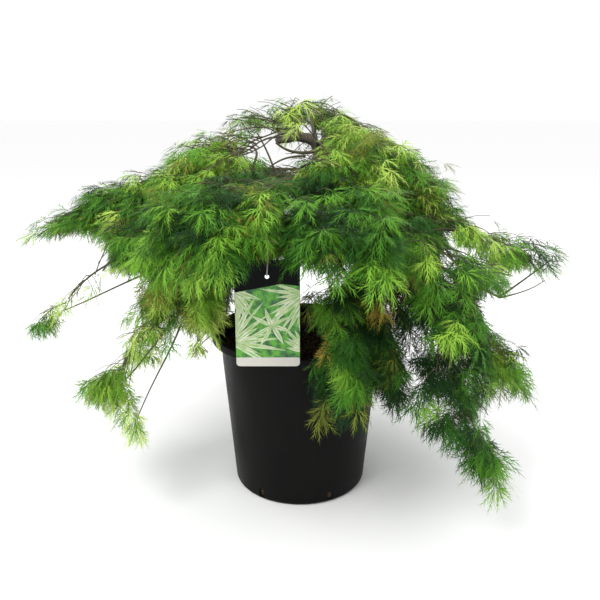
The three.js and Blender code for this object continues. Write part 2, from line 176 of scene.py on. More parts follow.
floorSet = {"size": 30, "colour": (0.97, 0.97, 0.97, 1), "roughness": 0.9}


def placeFloor():
    shape = bmesh.new()
    bmesh.ops.create_grid(shape, x_segments=1, y_segments=1, size=floorSet["size"])
    finish = Finish("paleFloor", Base_Color=floorSet["colour"], Roughness=floorSet["roughness"])
    floor = settle(shape, "floor", finish)


def link(name, shape, *finishes):  # shape: a mesh, a curve, a light or a camera
    piece = bpy.data.objects.new(name, shape)
    bpy.context.scene.collection.objects.link(piece)
    for finish in finishes:
        shape.materials.append(finish.material)
    return piece


def settle(shape, name, *finishes, smooth=True):  # turns a bmesh into a piece
    mesh = bpy.data.meshes.new(name)
    shape.to_mesh(mesh)
    shape.free()
    mesh.shade_smooth() if smooth else mesh.shade_flat()
    return link(name, mesh, *finishes)


def applied(piece):  # a piece's curve or live modifiers, made a plain mesh
    graph = bpy.context.evaluated_depsgraph_get()
    mesh = bpy.data.meshes.new_from_object(piece.evaluated_get(graph))
    name = piece.name
    bpy.data.objects.remove(piece)
    mesh.name = name
    return link(name, mesh)


def stands(piece, slot, *nodes):  # the piece stands for these nodes, and rides with the pot
    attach(piece, "root")
    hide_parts(*nodes)
    return piece


def sharpened(piece, degrees):  # keeps edges crisp where faces meet at more than this
    shape = bmesh.new()
    shape.from_mesh(piece.data)
    for edge in shape.edges:
        edge.smooth = len(edge.link_faces) == 2 and edge.calc_face_angle(0) < math.radians(degrees)
    shape.to_mesh(piece.data)
    shape.free()


def inMetres(points):
    return [Vector(point) * mm for point in points]


class Run:  # a Bezier curve that is read by its share of the length
    samples = 49
    nearby = 0.01  # how far apart the points are that give its heading

    def __init__(self, *handles):
        share = np.linspace(0, 1, self.samples)[:, None]
        points = [np.array(handle, float) for handle in handles]
        while len(points) > 1:
            points = [before * (1 - share) + after * share for before, after in zip(points, points[1:])]
        self.points = points[0]
        steps = np.linalg.norm(np.diff(self.points, axis=0), axis=1)
        self.lengths = np.concatenate([[0], np.cumsum(steps)])
        self.length = self.lengths[-1]

    def at(self, share):
        where = share * self.length
        return Vector([np.interp(where, self.lengths, self.points[:, axis]) for axis in range(3)])

    def heading(self, share):
        return (self.at(min(1, share + self.nearby)) - self.at(max(0, share - self.nearby))).normalized()

    def path(self, count):
        return [self.at(i / count) for i in range(count + 1)]


def polar(angle, reach, height):
    angle = math.radians(angle)
    return Vector((reach * math.cos(angle), reach * math.sin(angle), height)) * mm


def sweep(name, runs, bevel, finish):  # round limbs along (path, radii) pairs, as one mesh
    curve = bpy.data.curves.new(name, "CURVE")
    curve.dimensions = "3D"
    curve.bevel_depth = 1
    curve.bevel_resolution = bevel
    curve.use_fill_caps = True
    for path, radii in runs:
        spline = curve.splines.new("POLY")
        spline.points.add(len(path) - 1)
        spline.points.foreach_set("co", np.column_stack([np.array(path), np.ones(len(path))]).ravel())
        spline.points.foreach_set("radius", np.array(radii, float))
    piece = applied(link(name, curve))
    piece.data.materials.append(finish.material)
    piece.data.shade_smooth()
    return piece


trunkSet = {  # in mm, as all of the plan is
    "path": [(-30, 8, 225), (-40, 30, 400), (110, 12, 590), (-36, 0, 546)],
    "foot": 14, "flare": 8, "flareHeight": 17, "tip": 6.2, "soil": 237.3,
}
boughSet = {"root": 5.4, "tip": 2.5, "lift": 0.16, "gap": 0.3, "handles": (0.3, 0.75)}
stemSet = {"tip": 1.0, "lift": 0.2, "handles": (0.36, 0.66), "pathSteps": 8, "shootSteps": 24}
slender = {  # shares of the usual girth
    "wing-left": 0.5, "wing-left-front": 0.55, "brow-left": 0.6,
    "cap-left": 0.4, "cap-left-front": 0.4, "cap-left-back": 0.45, "cap-back": 0.6,
}

# spread: how far side twigs go. rise: how steeply they climb. droop: how steeply leaves hang, and swing: how
# far they turn from straight out, both in degrees.
tiers = {
    "cap": {"spread": 78, "twigs": 4, "rise": 0.5, "droop": 26, "swing": 110},
    "wing": {"spread": 84, "twigs": 5, "rise": 0.4, "droop": 36, "swing": 60},
    "brow": {"spread": 80, "twigs": 4, "rise": 0.3, "droop": 26, "swing": 70},
    "hem": {"spread": 80, "twigs": 4, "rise": 0.35, "droop": 50, "swing": 60},
    "fringe": {"spread": 58, "twigs": 4, "rise": 0.2, "droop": 60, "swing": 70},
}
# Tier, side, share of the trunk at which the bough leaves it, then the bough's tip and the stem's tip, both as
# angle, reach and height.
limbPlan = [
    ("cap", "left", 0.95, (187, 66, 542), (186, 180, 484)),
    ("cap", "left-front", 0.9, (224, 60, 550), (216, 190, 488)),
    ("cap", "left-back", 0.87, (128, 48, 562), (128, 185, 498)),
    ("cap", "back", 0.83, (75, 46, 594), (80, 178, 534)),
    ("cap", "right-back", 0.79, (30, 50, 568), (28, 180, 474)),
    ("cap", "right", 0.76, (345, 70, 534), (342, 180, 458)),
    ("cap", "front", 0.72, (296, 56, 548), (290, 168, 486)),
    ("wing", "left", 0.66, (176, 110, 490), (182, 336, 440)),
    ("wing", "left-front", 0.62, (214, 100, 482), (214, 308, 392)),
    ("wing", "right-front", 0.64, (319, 100, 474), (320, 300, 366)),
    ("wing", "right", 0.66, (357, 112, 452), (357, 350, 368)),
    ("wing", "right-back", 0.63, (36, 105, 482), (36, 322, 374)),
    ("wing", "back-right", 0.6, (71, 95, 498), (71, 315, 382)),
    ("wing", "back-left", 0.6, (109, 95, 490), (110, 315, 386)),
    ("wing", "left-back", 0.64, (145, 95, 498), (147, 322, 398)),
    ("brow", "left", 0.56, (252.6, 172, 498), (246, 272, 462)),
    ("brow", "right", 0.6, (286, 100, 500), (282, 262, 452)),
    ("hem", "left", 0.5, (183, 165, 416), (184, 358, 312)),
    ("hem", "left-front", 0.44, (203, 145, 384), (200, 294, 192)),
    ("hem", "right-front", 0.47, (322, 140, 380), (323, 304, 188)),
    ("hem", "right", 0.52, (343, 165, 392), (346, 288, 258)),
    ("hem", "right-back", 0.5, (22, 155, 392), (24, 312, 238)),
    ("hem", "back-right", 0.47, (58, 135, 394), (58, 302, 244)),
    ("hem", "back", 0.46, (94, 135, 410), (95, 285, 352)),
    ("hem", "back-left", 0.48, (136, 140, 402), (137, 307, 252)),
    ("fringe", "left", 0.42, (231, 130, 386), (237, 190, 300)),
    ("fringe", "right", 0.42, (297, 125, 384), (296, 188, 262)),
]

trunkRun = Run(*inMetres(trunkSet["path"]))


def trunkRadius(share):
    flare = trunkSet["flare"] * math.exp(-share * trunkRun.length / mm / trunkSet["flareHeight"])
    return (trunkSet["foot"] + (trunkSet["tip"] - trunkSet["foot"]) * share + flare) * mm


def boughRun(fork, tip):
    root = trunkRun.at(fork)
    run = tip - root
    lift = up * boughSet["lift"] * math.hypot(run.x, run.y)
    return Run(root, *[root + run * handle + lift for handle in boughSet["handles"]], tip)


def stemRun(bough, tip):
    heading = bough.heading(1)
    root = bough.at(1) + heading * boughSet["gap"] * mm
    run = tip - root
    start, end = stemSet["handles"]
    lift = up * stemSet["lift"] * run.length
    return Run(root, root + heading * start * run.length, root + run * end + lift, tip)


limbs = []
for tier, side, fork, boughTip, stemTip in limbPlan:
    bough = boughRun(fork, polar(*boughTip))
    stem = stemRun(bough, polar(*stemTip))
    limbs.append({"name": f"{tier}-{side}", "tier": tiers[tier], "kind": tier, "bough": bough, "stem": stem})
stemPaths = np.array([limb["stem"].path(stemSet["pathSteps"]) for limb in limbs])


def stemDistances(points):  # how far each point is from each mass's stem
    start = stemPaths[:, :-1]
    along = stemPaths[:, 1:] - start
    offset = points[:, None, None] - start
    share = (offset * along).sum(-1) / (along * along).sum(-1)
    nearest = offset - np.clip(share, 0, 1)[..., None] * along
    return np.sqrt((nearest ** 2).sum(-1)).min(-1)


def inOwnSpace(points, own, slack):  # nearer to its own stem than to any other's
    distances = stemDistances(np.array(points, float))
    home = distances[:, own].copy()
    distances[:, own] = np.inf
    return distances.min(1) > home - slack


barkSet = {
    "trunkSteps": 220, "boughSteps": 46, "bevel": 6, "sunk": 4,  # how far it goes into the compost, in mm
    "slimFrom": 0.75, "slimTop": 0.3, "swelling": 1.3, "swellingMost": 1.4, "swellingLength": 0.018,
    "collar": 2.2, "collarLength": 9 * mm,
    "ripple": 0.5 * mm, "rippleSize": 5 * mm, "rippleStretch": 0.35, "fractal": (0.6, 2.2, 5),
    "dark": (0.020, 0.015, 0.010), "light": (0.115, 0.092, 0.066), "lichen": (0.075, 0.072, 0.052),
}


def barkFinish():
    bark = Finish("bark", Roughness=0.85)
    fissures = bark.grain(0.004, 6, 0.65, (1, 1, 0.25))
    brown = bark.between(bark.spread(fissures, 0.35, 0.68), barkSet["dark"], barkSet["light"])
    patches = bark.spread(bark.grain(0.03, 3), 0.45, 0.62)
    bark.colour(bark.between(patches, brown, barkSet["lichen"]))
    bark.relief(fissures, 0.0012, 0.7)
    return bark


def growLimbs():
    runs = []
    path = []
    radii = []
    foot = (trunkSet["soil"] - barkSet["sunk"]) * mm
    for i in range(barkSet["trunkSteps"] + 1):
        share = i / barkSet["trunkSteps"]
        point = trunkRun.at(share)
        if point.z < foot:
            continue
        swelling = sum(math.exp(-((share - row[2]) / barkSet["swellingLength"]) ** 2) for row in limbPlan)
        slimmer = 1 - barkSet["slimTop"] * max(0, share - barkSet["slimFrom"]) / (1 - barkSet["slimFrom"])
        path.append(point)
        swelling = barkSet["swelling"] * mm * min(barkSet["swellingMost"], swelling)
        radii.append(trunkRadius(share) * slimmer + swelling)
    runs.append((path, radii))
    for limb in limbs:
        radii = []
        for i in range(barkSet["boughSteps"] + 1):
            share = i / barkSet["boughSteps"]
            collar = barkSet["collar"] * math.exp(-share * limb["bough"].length / barkSet["collarLength"])
            girth = boughSet["root"] + (boughSet["tip"] - boughSet["root"]) * share + collar
            radii.append(girth * slender.get(limb["name"], 1) * mm)
        runs.append((limb["bough"].path(barkSet["boughSteps"]), radii))
    piece = sweep("bark-limbs", runs, barkSet["bevel"], barkFinish())
    shape = bmesh.new()
    shape.from_mesh(piece.data)
    shape.normal_update()
    for vert in shape.verts:
        place = Vector((vert.co.x, vert.co.y, vert.co.z * barkSet["rippleStretch"])) / barkSet["rippleSize"]
        bulge = noise.fractal(place, *barkSet["fractal"], noise_basis="PERLIN_ORIGINAL")
        vert.co += vert.normal * bulge * barkSet["ripple"]
        vert.co.z = max(vert.co.z, foot)
    shape.to_mesh(piece.data)
    shape.free()
    return stands(piece, "bark", "trunk", *[f"bough-{limb['name']}" for limb in limbs])


# A leaf is a fan of hair-thin lobes with long side teeth. Lengths are shares of the longest lobe.
leafSet = {
    "kinds": 8, "kindSeed": 11, "lobes": 5, "fan": (42, 74), "twist": 8, "tilt": 14, "sag": (0.15, 0.5),
    "width": 0.036, "widest": 0.4, "outerShorter": 0.3, "outerPower": 1.6, "lengths": (0.85, 1.08),
    "teeth": 3, "toothFirst": 0.2, "toothSpan": 0.62, "toothShift": 0.3, "toothWidth": 0.028,
    "toothLength": 0.42, "toothShorter": 1.15, "toothLengths": (0.8, 1.25),
    "toothTurn": 25, "toothTurns": (0.75, 1.25),
    "stalk": 0.34, "stalkWidth": 0.02,
}


def meshArrays(shape):  # a bmesh's points and triangles
    bmesh.ops.triangulate(shape, faces=shape.faces)
    shape.verts.index_update()
    points = np.array([v.co for v in shape.verts])
    faces = np.array([[v.index for v in f.verts] for f in shape.faces])
    shape.free()
    return points, faces


def addPoint(shape, base, tip, width):  # a thin triangle from a base line to a tip
    verts = bmesh.ops.create_circle(shape, cap_ends=True, segments=3, radius=1)["verts"]
    side = Vector((tip[1] - base[1], base[0] - tip[0])).normalized() * width / 2
    corners = (base[0] - side.x, base[1] - side.y), (base[0] + side.x, base[1] + side.y), tip
    for vert, (x, y) in zip(verts, corners):
        vert.co = (x, y, 0)
    shape.normal_update()
    if verts[0].link_faces[0].normal.z < 0:
        bmesh.ops.reverse_faces(shape, faces=verts[0].link_faces[:])


def addLobe(shape, length, sag, teeth, turn, dice):  # a narrow blade from the origin, with side teeth
    own = leafSet
    before = set(shape.verts)
    widest = (0, own["widest"] * length)
    addPoint(shape, widest, (0, 0), own["width"])
    addPoint(shape, widest, (0, length), own["width"])
    for i in range(2 * teeth):
        hand = 1 if i % 2 else -1
        shift = dice.uniform(-own["toothShift"], own["toothShift"])
        at = length * (own["toothFirst"] + own["toothSpan"] * (i + shift) / (2 * teeth))
        slant = math.radians(own["toothTurn"] * dice.uniform(*own["toothTurns"]))
        reach = own["toothLength"] * (own["toothShorter"] - at / length) * dice.uniform(*own["toothLengths"])
        tip = (hand * reach * math.sin(slant), at + reach * math.cos(slant))
        addPoint(shape, (0, at), tip, own["toothWidth"])
    lobe = [v for v in shape.verts if v not in before]
    for vert in lobe:
        vert.co.z -= sag * vert.co.y ** 2
    tilt = Matrix.Rotation(math.radians(dice.uniform(-own["tilt"], own["tilt"])), 4, "X")
    bmesh.ops.transform(shape, matrix=Matrix.Rotation(turn, 4, "Z") @ tilt, verts=lobe)


def leafTemplate(seed):  # one leaf: lobes from the origin, the middle one along +Y, and the stalk along -Y
    own = leafSet
    dice = random.Random(seed)
    shape = bmesh.new()
    fan = math.radians(dice.uniform(*own["fan"]))
    for i in range(own["lobes"]):
        place = 2 * i / (own["lobes"] - 1) - 1
        length = (1 - own["outerShorter"] * abs(place) ** own["outerPower"]) * dice.uniform(*own["lengths"])
        turn = -fan * place + math.radians(dice.uniform(-own["twist"], own["twist"]))
        teeth = own["teeth"] - (abs(place) == 1)  # the two outer lobes have a pair less
        addLobe(shape, length, dice.uniform(*own["sag"]), teeth, turn, dice)
    addPoint(shape, (0, 0), (0, -own["stalk"]), own["stalkWidth"])
    return meshArrays(shape)


def strewn(name, lots, finish):  # many copies as one mesh; each lot is points, faces, matrices and places
    allPoints = []
    allFaces = []
    total = 0
    for points, faces, matrices, places in lots:
        moved = np.einsum("nij,pj->npi", matrices, points) + places[:, None]
        offsets = total + np.arange(len(places))[:, None, None] * len(points)
        allPoints.append(moved.reshape(-1, 3))
        allFaces.append((faces[None] + offsets).reshape(-1, 3))
        total += len(places) * len(points)
    points = np.concatenate(allPoints)
    faces = np.concatenate(allFaces)
    mesh = bpy.data.meshes.new(name)
    mesh.vertices.add(len(points))
    mesh.vertices.foreach_set("co", points.ravel())
    mesh.loops.add(faces.size)
    mesh.loops.foreach_set("vertex_index", faces.ravel())
    mesh.polygons.add(len(faces))
    mesh.polygons.foreach_set("loop_start", np.arange(len(faces)) * 3)
    mesh.update()
    mesh.validate()
    return link(name, mesh, finish)


# Plain leaf colours, from dark to light, then two for odd tufts. Each spray takes one of them. The steps from
# dark to light carry painted light and shade as well as the leaves' own variety.
leafColours = {
    "deep": (0.007, 0.034, 0.005), "forest": (0.022, 0.094, 0.008), "green": (0.052, 0.176, 0.012),
    "grass": (0.092, 0.256, 0.018), "fresh": (0.161, 0.356, 0.028), "bright": (0.269, 0.475, 0.049),
    "lime": (0.442, 0.614, 0.106), "olive": (0.144, 0.176, 0.022), "gold": (0.400, 0.304, 0.048),
}
# How light a spray is, in steps along the colours. This is painted light and shade: higher up and further out a
# spray is painted lighter, as if lit more, each listed limb is painted lighter or darker by how light falls on
# it, and twigs on the boughs inside the crown are painted darker as shade.
shade = {
    "low": 0.7, "lift": 3.2, "outward": 0.5, "upward": 0.6, "spread": 1.0, "within": 0.9, "along": 2.2,
    "tallest": 0.6, "lowest": 0.2, "widest": 0.36, "tuftDepth": 0.1,  # heights, reach and depth, in metres
    "olive": 0.07,  # share of the sprays
    # inner: painted shade on twigs on the boughs; trailing: painted light and shade on trailing twigs, by limb
    "inner": -0.6, "trailing": {"hem-right": 1.2, "hem-right-front": 2.2, "hem-left": -1.4},
    # limbs: painted light and shade, how many steps lighter or darker each limb's sprays are made by how light
    # falls on it
    "limbs": {
        "hem-left": 2.4, "hem-left-front": 2.7, "hem-right": -1.0, "hem-right-front": -1.4,
        "fringe-left": 2.3, "fringe-right": -0.9, "brow-left": -1.2, "brow-right": -1.4,
        "wing-left-front": -0.9, "wing-right-front": -0.6,
        "cap-front": 1.3, "cap-right": 1.2, "cap-back": 2.1, "cap-left": 1.8, "cap-left-front": 1.6,
        "cap-left-back": 1.8, "cap-right-back": 1.5,
    },
}
# Where tufts are golden, as seen from the front: across and up in the plane Y = 0, and how far round.
goldenTufts = [(-0.090, 0.424, 0.020), (0.135, 0.292, 0.020), (0.049, 0.236, 0.013), (-0.128, 0.270, 0.012)]
# Tufts on the crown's front that are painted lighter or darker as light and shade, in the same way, and by how
# many steps they differ.
paintedLightAndShadeTufts = [
    (0.046, 0.279, 0.038, 3.2), (0.082, 0.191, 0.023, 1.9), (-0.232, 0.375, 0.025, 1.2),
    (-0.148, 0.343, 0.022, 1.2), (0.312, 0.359, 0.023, 1.4), (0.339, 0.187, 0.042, 1.9),
    (0.045, 0.534, 0.019, 1.4), (0.000, 0.588, 0.023, 1.5), (-0.259, 0.437, 0.024, 0.9),
    (0.144, 0.460, 0.033, 0.9), (-0.240, 0.261, 0.026, 0.9), (-0.096, 0.534, 0.018, 0.9),
    (-0.186, 0.433, 0.017, -1.8), (0.034, 0.442, 0.026, -1.4), (0.164, 0.244, 0.035, -1.2),
    (0.226, 0.180, 0.033, -1.5), (-0.045, 0.453, 0.015, -0.8), (-0.145, 0.437, 0.015, -0.8),
    (0.093, 0.364, 0.022, -0.9), (-0.286, 0.475, 0.018, -0.5),
]
# Side twigs along each stem, and a few more at the end of the upper boughs. Shares are of the length.
twigSet = {
    "seed": 7919, "times": 6,  # the part's own seed, and its count of side twigs this many times
    "first": 0.02, "span": 0.95, "shorter": 0.3, "varies": 0.3, "rise": (-1.4, 2.4), "sink": 0.006,
    "stemLeaves": 0.95, "middle": 0.6,  # where the stem's own spray gets its colour, and where a twig is tested
    "ahead": (0.45, 0.8), "bend": 0.55, "arch": 0.1, "tries": 5, "retry": 0.8, "clearShare": 0.7,
    "slack": 20 * mm, "sideSlack": 10 * mm,  # how far leaves and twigs may reach into the next space
    "root": 1.0 * mm, "tip": 0.55 * mm, "steps": 6, "trailingSteps": 9, "bareDropped": 0.5,
    "onBough": {"cap": 5, "wing": 5, "brow": 4}, "boughFrom": 0.5, "boughLength": 70 * mm,
    "boughRise": (0.1, 0.5), "boughSink": 0.002,
}
fineSet = {
    "count": 8, "length": 44 * mm, "varies": 0.3, "first": 0.15, "span": 0.8, "rise": (-0.6, 0.7),
    "sink": 0.004, "tip": 0.35 * mm, "steps": 3,
}
spraySet = {
    "every": 5.3 * mm, "sparser": {"cap": 1.25},  # leaves of a tier this many times further apart
    "inner": 27 * mm, "outer": 36 * mm, "outerFrom": 320 * mm, "varies": 0.25, "shift": 0.3,
    "first": 0.02, "last": 0.995, "outwards": 0.9, "tipFrom": 0.9, "tipSwing": 0.5,
    "droopMore": 4, "droopVaries": 34, "roll": 0.5,
    "onTwig": 0.25, "onFine": 0.4, "onStem": 0.12, "onOpenStem": 0.85, "openUnder": 0.6,  # where leaves start
    # Places on a leaf that keep clear of things, as shares of its size ahead and aside, and how it sags.
    "probes": [(0.95, 0), (0.65, 0.5), (0.65, -0.5), (0.5, 0), (0, 0)], "sag": 0.3,
}
# Limbs that hang thin and open: along each, up to which share of its stem, the share of side twigs with leaves.
openLimbs = {
    "hem-left": {0.3: 0.8, 0.62: 0.12, 1: 0.5}, "fringe-left": {0.6: 0.9, 1: 0.3},
    "hem-left-front": {0.3: 0.9, 0.6: 0.2, 0.76: 0.6, 0.84: 0.2, 1: 0.75},
    "hem-right-front": {0.3: 1, 0.72: 0.8, 1: 0.6}, "hem-right": {0.5: 1, 1: 0.7},
    "wing-right": {0.5: 1, 0.8: 0.45, 1: 0.7}, "wing-left": {0.7: 1, 0.85: 0.5, 1: 0.7},
    "cap-left": {1: 0.8}, "cap-left-front": {1: 0.8}, "cap-right": {1: 0.85}, "cap-front": {1: 0.95},
    "cap-back": {1: 0.8}, "cap-right-back": {1: 0.8}, "cap-left-back": {1: 0.8},
}
# Places left open between the boughs, seen from the front: middle and half sizes across and up, in mm, in the
# plane Y = 0.
openings = np.array([
    (-50, 550, 12, 15), (-43, 523, 18, 9), (-74, 527, 8, 8), (-13, 536, 11, 6), (11, 533, 12, 5),
    (-16, 515, 8, 6), (-1, 515, 6, 6), (3, 559, 8, 7), (25, 550, 6, 6), (53, 544, 5, 6), (-88, 559, 6, 5),
    (-88, 546, 6, 5), (93, 434, 7, 5), (101, 424, 8, 4), (137, 517, 5, 5), (41, 355, 10, 5),
    (77, 351, 8, 6), (33, 325, 8, 7), (158, 317, 7, 6), (165, 303, 7, 6), (175, 314, 5, 5),
    (230, 400, 9, 8), (243, 405, 7, 8), (229, 341, 8, 7), (230, 318, 8, 10), (259, 330, 6, 5),
    (236, 364, 8, 7), (219, 375, 5, 5), (267, 372, 7, 8), (165, 389, 5, 4), (183, 386, 5, 4),
    (-128, 466, 5, 5), (-265, 369, 5, 5), (-223, 370, 6, 7), (284, 416, 13, 8), (-395, 359, 53, 30),
    (-341, 235, 33, 42), (-271, 317, 24, 10), (-165, 127, 45, 63), (-201, 79, 51, 41), (-253, 153, 19, 25),
    (-364, 79, 36, 26), (-408, 184, 43, 41), (-348, 383, 25, 14), (-217, 273, 8, 5), (-184, 289, 7, 5),
    (-52, 337, 19, 15), (20, 223, 13, 21), (351, 271, 55, 28), (303, 288, 21, 13), (430, 218, 52, 98),
    (348, 85, 47, 29), (214, -43, 56, 35), (193, 232, 7, 7), (219, 244, 9, 6), (264, 215, 7, 5),
    (271, 184, 6, 5), (288, 148, 7, 5), (175, 145, 5, 9), (187, 199, 7, 5), (167, 171, 5, 5),
    (325, 203, 5, 10), (195, 28, 28, 17), (411, 303, 54, 23), (-378, 460, 34, 14), (-399, 383, 22, 10),
    (-324, 361, 25, 15), (-302, 325, 15, 10), (-390, 322, 32, 15), (-419, 316, 19, 19), (-331, 281, 23, 12),
    (-291, 299, 10, 10), (-311, 215, 20, 20), (-184, 227, 12, 15), (-153, 218, 10, 13), (340, 417, 22, 10),
    (374, 361, 7, 8), (353, 329, 19, 13), (441, 342, 16, 19), (406, -123, 60, 60), (124, 597, 38, 30),
    (163, 570, 33, 30), (90, 608, 21, 18), (188, 549, 14, 17), (-143, 586, 36, 14), (-99, 604, 21, 12),
]) * mm
clearance = {
    "potReach": 142 * mm, "potTop": 258 * mm, "ground": 30 * mm, "box": 5 * mm,
    "cardSide": 4 * mm, "cardTop": 2 * mm, "cardShows": 18 * mm, "cardDepth": 6 * mm,
}
labelLow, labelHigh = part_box("label-card")


def awayFromThings(points):  # clear of the pot, the label and the ground
    x, y, z = points.T
    inPot = (np.hypot(x, y) < clearance["potReach"]) & (z < clearance["potTop"])
    nearCard = (x > labelLow.x - clearance["cardSide"]) & (x < labelHigh.x + clearance["cardSide"])
    nearCard &= z < labelHigh.z + clearance["cardTop"]
    front = nearCard & (y < labelHigh.y) & (z < labelHigh.z - clearance["cardShows"])
    through = nearCard & (y > labelLow.y - clearance["cardDepth"]) & (y < labelHigh.y + clearance["cardDepth"])
    return ~inPot & ~front & ~through & (z > clearance["ground"])


def asSeen(points):  # where the camera sees them in the plane Y = 0, across and up
    nearness = 1 / (points[:, 1] - cameraSet["stand"][1])
    height = cameraSet["stand"][2]
    return np.column_stack([points[:, 0] * nearness, height + (points[:, 2] - height) * nearness])


def clearOfOpenings(points):
    x, z = asSeen(points).T
    clear = np.ones(len(points), bool)
    for middleX, middleZ, halfX, halfZ in openings:
        clear &= ((x - middleX) / halfX) ** 2 + ((z - middleZ) / halfZ) ** 2 > 1
    return clear


def inBox(points):  # within the part's own reach, with a little over
    low = np.array(cadBox[0]) - clearance["box"]
    high = np.array(cadBox[1]) + (clearance["box"], clearance["box"], 0)
    return ((points > low) & (points < high)).all(1)


def tapering(start, end, steps):
    return list(np.linspace(start, end, steps + 1))


def growMass(index, limb, shoots, leaves):
    dice = random.Random(twigSet["seed"] * (index + 1))
    name, tier, stem = limb["name"], limb["tier"], limb["stem"]
    spans = openLimbs.get(name, {1: 1})
    shades = list(leafColours)[:-2]
    paintedLight = shade["limbs"].get(name, 0)
    sparser = spraySet["sparser"].get(limb["kind"], 1)
    vary = lambda amount: 1 + amount * dice.uniform(-1, 1)

    # painted light: a spray is made lighter the higher up and further out it is, as if lit more, and each limb
    # adds its own painted light or shade
    def pickStep(place):
        high = (place.z - shade["lowest"]) / (shade["tallest"] - shade["lowest"])
        outer = shade["outward"] * (math.hypot(place.x, place.y) / shade["widest"]) ** 2
        lift = shade["lift"] * min(1, max(0, outer + shade["upward"] * high))
        return shade["low"] + paintedLight + lift + dice.gauss(0, shade["spread"])

    def pickColour(step, place):
        seen = asSeen(np.array([place]))[0]
        if place.y < 0 and any(math.dist(seen, spot[:2]) < spot[2] for spot in goldenTufts):
            return "gold"
        if dice.random() < shade["olive"]:
            return "olive"
        # painted light and shade: sprays on the front are made lighter or darker in the tufts listed above
        if place.y < shade["tuftDepth"]:
            step += sum(spot[3] for spot in paintedLightAndShadeTufts if math.dist(seen, spot[:2]) < spot[2])
        step = round(step + dice.gauss(0, shade["within"]))
        return shades[min(len(shades) - 1, max(0, step))]

    def addShoot(path, radii, parent, bare):
        shoots.append((path, radii, parent, bare))
        return len(shoots) - 1

    def addTwig(run, bare, steps=twigSet["steps"]):  # a twig that the stem bears
        return addShoot(run.path(steps), tapering(twigSet["root"], twigSet["tip"], steps), whole, bare)

    def leafAlong(shoot, run, colour, first):
        own = spraySet
        count = max(1, int(run.length * (1 - first) / own["every"] / sparser))
        for i in range(count + 1):
            share = own["last"]
            if i < count:
                share = first + (1 - first) * (i + dice.uniform(-own["shift"], own["shift"])) / count
            share = min(own["last"], max(own["first"], share))
            root = run.at(share)
            out = Vector((root.x, root.y, 0)).normalized()
            along = run.heading(share)
            along.z = 0
            level = (out * own["outwards"] + along).normalized()
            swing = tier["swing"] * (own["tipSwing"] if share > own["tipFrom"] else 1)
            turn = math.radians(swing) * dice.uniform(-1, 1)
            droop = math.radians(tier["droop"] + own["droopMore"] + own["droopVaries"] * dice.uniform(-1, 1))
            flat = Matrix.Rotation(turn, 3, up) @ level
            ahead = flat * math.cos(droop) - up * math.sin(droop)
            face = flat * math.sin(droop) + up * math.cos(droop)
            face = Matrix.Rotation(own["roll"] * dice.uniform(-1, 1), 3, ahead) @ face
            outward = min(1, math.hypot(root.x, root.y) / own["outerFrom"])
            size = (own["inner"] * (1 - outward) + own["outer"] * outward) * vary(own["varies"])
            middle = root + ahead * leafSet["stalk"] * size
            leaves.append((index, colour, middle, ahead, face, size, shoot))

    def branch(run, share, odd, length, rise, sink):  # an arching side shoot, to the left or the right
        root = run.at(share)
        heading = run.heading(share)
        side = up.cross(heading).normalized() * (-1 if odd else 1)
        away = (heading * dice.uniform(*twigSet["ahead"]) + side + up * rise).normalized()
        tip = root + away * length - up * sink
        return Run(root, root + away * length * twigSet["bend"] + up * twigSet["arch"] * length, tip)

    def dress(own, twig, lighter=0):  # leaves along a twig, and fine shoots with theirs
        step = pickStep(twig.at(1)) + lighter
        leafAlong(own, twig, pickColour(step, twig.at(1)), spraySet["onTwig"])
        sink = fineSet["sink"] * tier["droop"] * fineSet["length"]
        for j in range(fineSet["count"]):
            spot = fineSet["first"] + fineSet["span"] * j / fineSet["count"]
            length = fineSet["length"] * vary(fineSet["varies"])
            fine = branch(twig, spot, j % 2, length, dice.uniform(*fineSet["rise"]), sink)
            if inOwnSpace([fine.at(1)], index, twigSet["slack"]).all():
                radii = tapering(twigSet["tip"], fineSet["tip"], fineSet["steps"])
                thin = addShoot(fine.path(fineSet["steps"]), radii, own, False)
                # painted light: fine shoots further out along the twig are made lighter, those near its root
                # darker
                colour = pickColour(step + shade["along"] * (spot - 0.5), fine.at(1))
                leafAlong(thin, fine, colour, spraySet["onFine"])

    thick = boughSet["tip"] * slender.get(name, 1)
    steps = stemSet["shootSteps"]
    radii = [(thick + (stemSet["tip"] - thick) * i / steps) * mm for i in range(steps + 1)]
    whole = addShoot(stem.path(steps), radii, -1, True)
    tip = stem.at(twigSet["stemLeaves"])
    first = spraySet["onStem" if min(spans.values()) > spraySet["openUnder"] else "onOpenStem"]
    leafAlong(whole, stem, pickColour(pickStep(tip), tip), first)
    twigs = tier["twigs"] * twigSet["times"]
    for i in range(twigs):
        share = twigSet["first"] + twigSet["span"] * i / twigs
        length = tier["spread"] * mm * (1 - twigSet["shorter"] * share) * vary(twigSet["varies"])
        for _ in range(twigSet["tries"]):
            rise = tier["rise"] * dice.uniform(*twigSet["rise"]) * (1 - share)
            twig = branch(stem, share, i % 2, length, rise, twigSet["sink"] * tier["droop"] * length)
            if inOwnSpace([twig.at(twigSet["middle"]), twig.at(1)], index, twigSet["sideSlack"]).all():
                break
            length *= twigSet["retry"]
        bare = dice.random() > next(odds for end, odds in spans.items() if share <= end)
        if bare and dice.random() < twigSet["bareDropped"]:
            continue
        own = addTwig(twig, bare)
        if not bare:
            dress(own, twig)
    more = twigSet["onBough"].get(limb["kind"], 0)
    for i in range(more):
        share = twigSet["boughFrom"] + (1 - twigSet["boughFrom"]) * (i + dice.random()) / more
        length = twigSet["boughLength"] * vary(twigSet["varies"])
        rise = dice.uniform(*twigSet["boughRise"])
        sink = twigSet["boughSink"] * tier["droop"] * length
        twig = branch(limb["bough"], share, i % 2, length, rise, sink)
